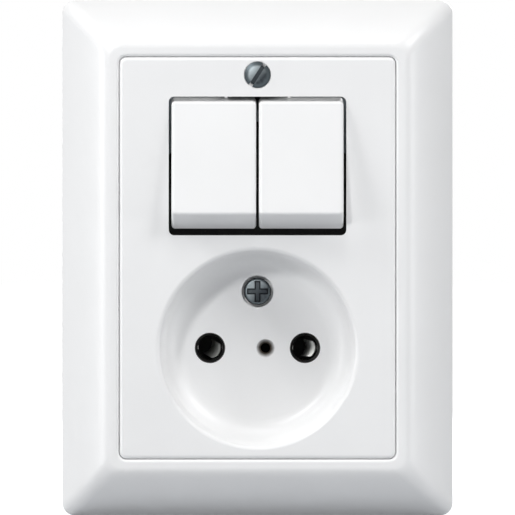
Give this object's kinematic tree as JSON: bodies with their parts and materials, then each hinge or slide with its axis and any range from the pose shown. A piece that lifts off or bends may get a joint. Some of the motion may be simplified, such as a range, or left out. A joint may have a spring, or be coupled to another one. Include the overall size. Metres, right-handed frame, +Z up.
{
  "type": "combination switch and socket outlet",
  "caption": "Flush wall unit: rocker switches above a round recessed unearthed socket outlet, in a bevelled cover frame on a steel support plate with a round insert for a wall box.",
  "frame": {"origin": "centre of the wall box opening, on the wall plane behind the support plate", "axes": "+Z up the wall, +Y into the wall, +X to the right as seen from the front"},
  "size_m": [0.078, 0.0412, 0.103],
  "materials": {
    "white_plastic": "moulded white, smooth satin gloss",
    "insert_plastic": "moulded black thermoset, dull",
    "switch_plastic": "moulded pale grey nylon",
    "zinc_steel": "zinc plated, grey",
    "spring_steel": "drawn wire",
    "contact_brass": "stamped and turned, bare",
    "plated_bronze": "rolled bronze, tin plated"
  },
  "bodies": {
    "unit": {"cover_frame": "white_plastic", "centre_plate": "white_plastic", "insert_base": "insert_plastic", "rear_cover": "insert_plastic", "pin_guide_left": "insert_plastic", "pin_guide_right": "insert_plastic", "support_plate": "zinc_steel", "cover_screw": "zinc_steel", "socket_screw": "zinc_steel", "rear_cover_screws": "zinc_steel", "terminal_screws": "zinc_steel", "fixed_contact_left": "contact_brass", "fixed_contact_right": "contact_brass", "common_rail": "contact_brass", "threaded_insert": "contact_brass", "terminal_block_common": "contact_brass", "terminal_block_switch_right": "contact_brass", "terminal_block_switch_left": "contact_brass", "terminal_block_socket_right": "contact_brass", "terminal_block_socket_left": "contact_brass", "socket_contact_left": "plated_bronze", "socket_contact_right": "plated_bronze"},
    "left_rocker": {"rocker_left": "white_plastic", "cradle_left": "switch_plastic", "plunger_left": "switch_plastic", "plunger_spring_left": "spring_steel"},
    "left_tipping": {"tipping_contact_left": "contact_brass"},
    "right_rocker": {"rocker_right": "white_plastic", "cradle_right": "switch_plastic", "plunger_right": "switch_plastic", "plunger_spring_right": "spring_steel"},
    "right_tipping": {"tipping_contact_right": "contact_brass"}
  },
  "joints": [
    {"name": "left_rocker_hinge", "type": "hinge", "parent": "unit", "child": "left_rocker", "pos_m": [-0.00868, -0.0056, 0.0183], "axis": [1, 0, 0], "range_deg": [0, 18]},
    {"name": "left_tipping_hinge", "type": "hinge", "parent": "unit", "child": "left_tipping", "pos_m": [-0.00868, 0.0042, 0.0183], "axis": [1, 0, 0], "range_deg": [-12, 0]},
    {"name": "right_rocker_hinge", "type": "hinge", "parent": "unit", "child": "right_rocker", "pos_m": [0.00868, -0.0056, 0.0183], "axis": [1, 0, 0], "range_deg": [0, 18]},
    {"name": "right_tipping_hinge", "type": "hinge", "parent": "unit", "child": "right_tipping", "pos_m": [0.00868, 0.0042, 0.0183], "axis": [1, 0, 0], "range_deg": [-12, 0]}
  ],
  "couplings": [
    {"joint": "left_tipping_hinge", "follows": "left_rocker_hinge", "ratio": -0.6666},
    {"joint": "right_tipping_hinge", "follows": "right_rocker_hinge", "ratio": -0.6666}
  ]
}
